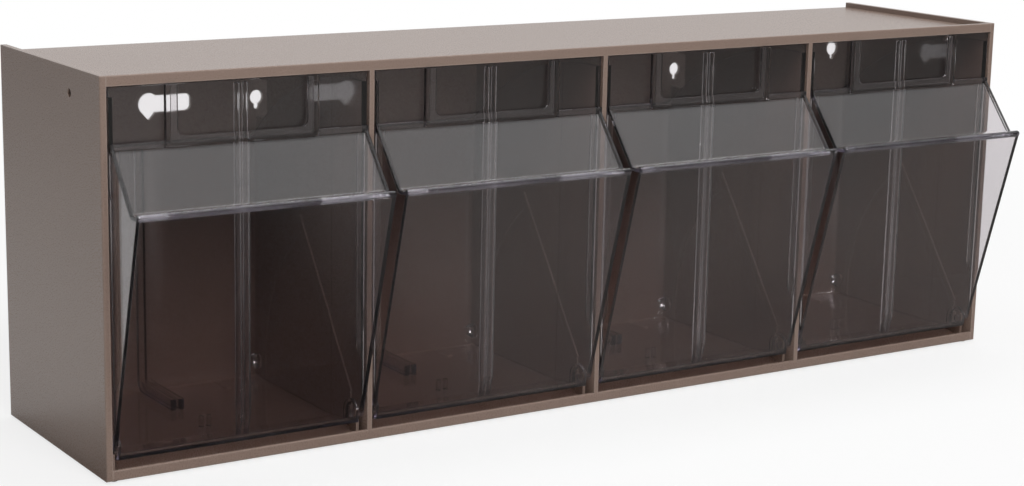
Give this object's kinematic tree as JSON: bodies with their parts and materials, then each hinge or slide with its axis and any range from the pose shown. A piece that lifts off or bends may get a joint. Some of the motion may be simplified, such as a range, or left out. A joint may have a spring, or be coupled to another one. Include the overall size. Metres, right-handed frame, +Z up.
{
  "type": "tilt out bin unit",
  "caption": "Low, wide plastic cabinet with a row of clear tilt-out storage bins, each with a slanted nose and a label holder; it stands, stacks or hangs on a wall.",
  "frame": {"origin": "centre of the bounding box in plan, on the surface that the corner pegs stand on, with the bins closed", "axes": "+X along the width, -Y out of the front where the bins open, +Z up"},
  "size_m": [0.6, 0.1698, 0.2072],
  "materials": {
    "cabinet_plastic": "satin moulded",
    "clear_plastic": "clear, faintly smoked"
  },
  "bodies": {
    "cabinet": {"cabinet_shell": "cabinet_plastic", "cabinet_end_left": "cabinet_plastic", "cabinet_end_right": "cabinet_plastic"},
    "bin_1": {"bin_1_body": "clear_plastic", "bin_1_nose": "clear_plastic"},
    "bin_2": {"bin_2_body": "clear_plastic", "bin_2_nose": "clear_plastic"},
    "bin_3": {"bin_3_body": "clear_plastic", "bin_3_nose": "clear_plastic"},
    "bin_4": {"bin_4_body": "clear_plastic", "bin_4_nose": "clear_plastic"}
  },
  "joints": [
    {"name": "bin_1_tilt", "type": "hinge", "parent": "cabinet", "child": "bin_1", "pos_m": [-0.2235, -0.0421, 0.0147], "axis": [1, 0, 0], "range_deg": [0, 51]},
    {"name": "bin_2_tilt", "type": "hinge", "parent": "cabinet", "child": "bin_2", "pos_m": [-0.0745, -0.0421, 0.0147], "axis": [1, 0, 0], "range_deg": [0, 51]},
    {"name": "bin_3_tilt", "type": "hinge", "parent": "cabinet", "child": "bin_3", "pos_m": [0.0745, -0.0421, 0.0147], "axis": [1, 0, 0], "range_deg": [0, 51]},
    {"name": "bin_4_tilt", "type": "hinge", "parent": "cabinet", "child": "bin_4", "pos_m": [0.2235, -0.0421, 0.0147], "axis": [1, 0, 0], "range_deg": [0, 51]}
  ]
}
